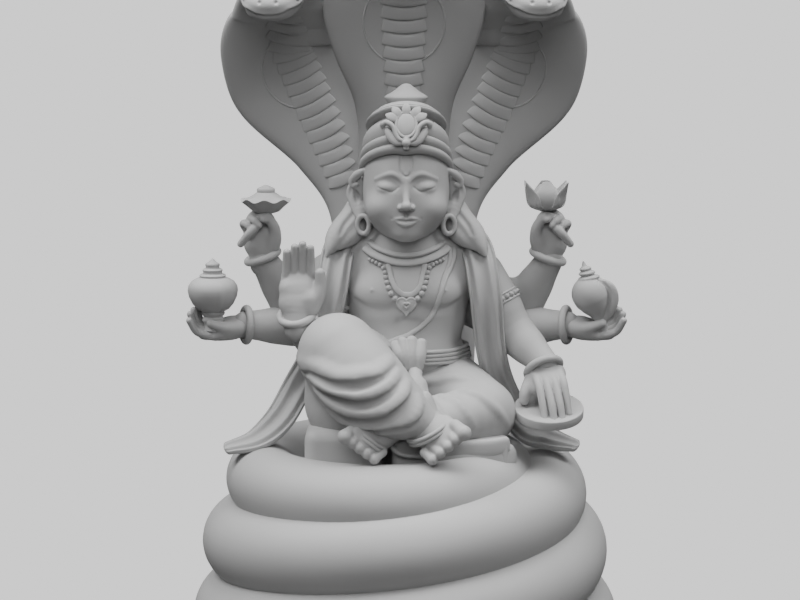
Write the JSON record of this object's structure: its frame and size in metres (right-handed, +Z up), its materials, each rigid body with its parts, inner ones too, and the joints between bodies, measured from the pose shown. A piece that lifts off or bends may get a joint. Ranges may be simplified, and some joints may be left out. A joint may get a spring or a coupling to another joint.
{
  "type": "vishnu figure",
  "caption": "Seated multi-armed deity with one raised knee on a coiled serpent, whose hooded heads rise behind it, cast in one with a low round plinth.",
  "frame": {"origin": "centre of the plinth's flat underside", "axes": "+Z up the statue, -Y towards the viewer, the way the figure faces, +X to the viewer's right"},
  "size_m": [0.184, 0.184, 0.3168],
  "materials": {
    "grey_resin": "matte"
  },
  "bodies": {
    "root": {"statue": "grey_resin"}
  },
  "joints": []
}
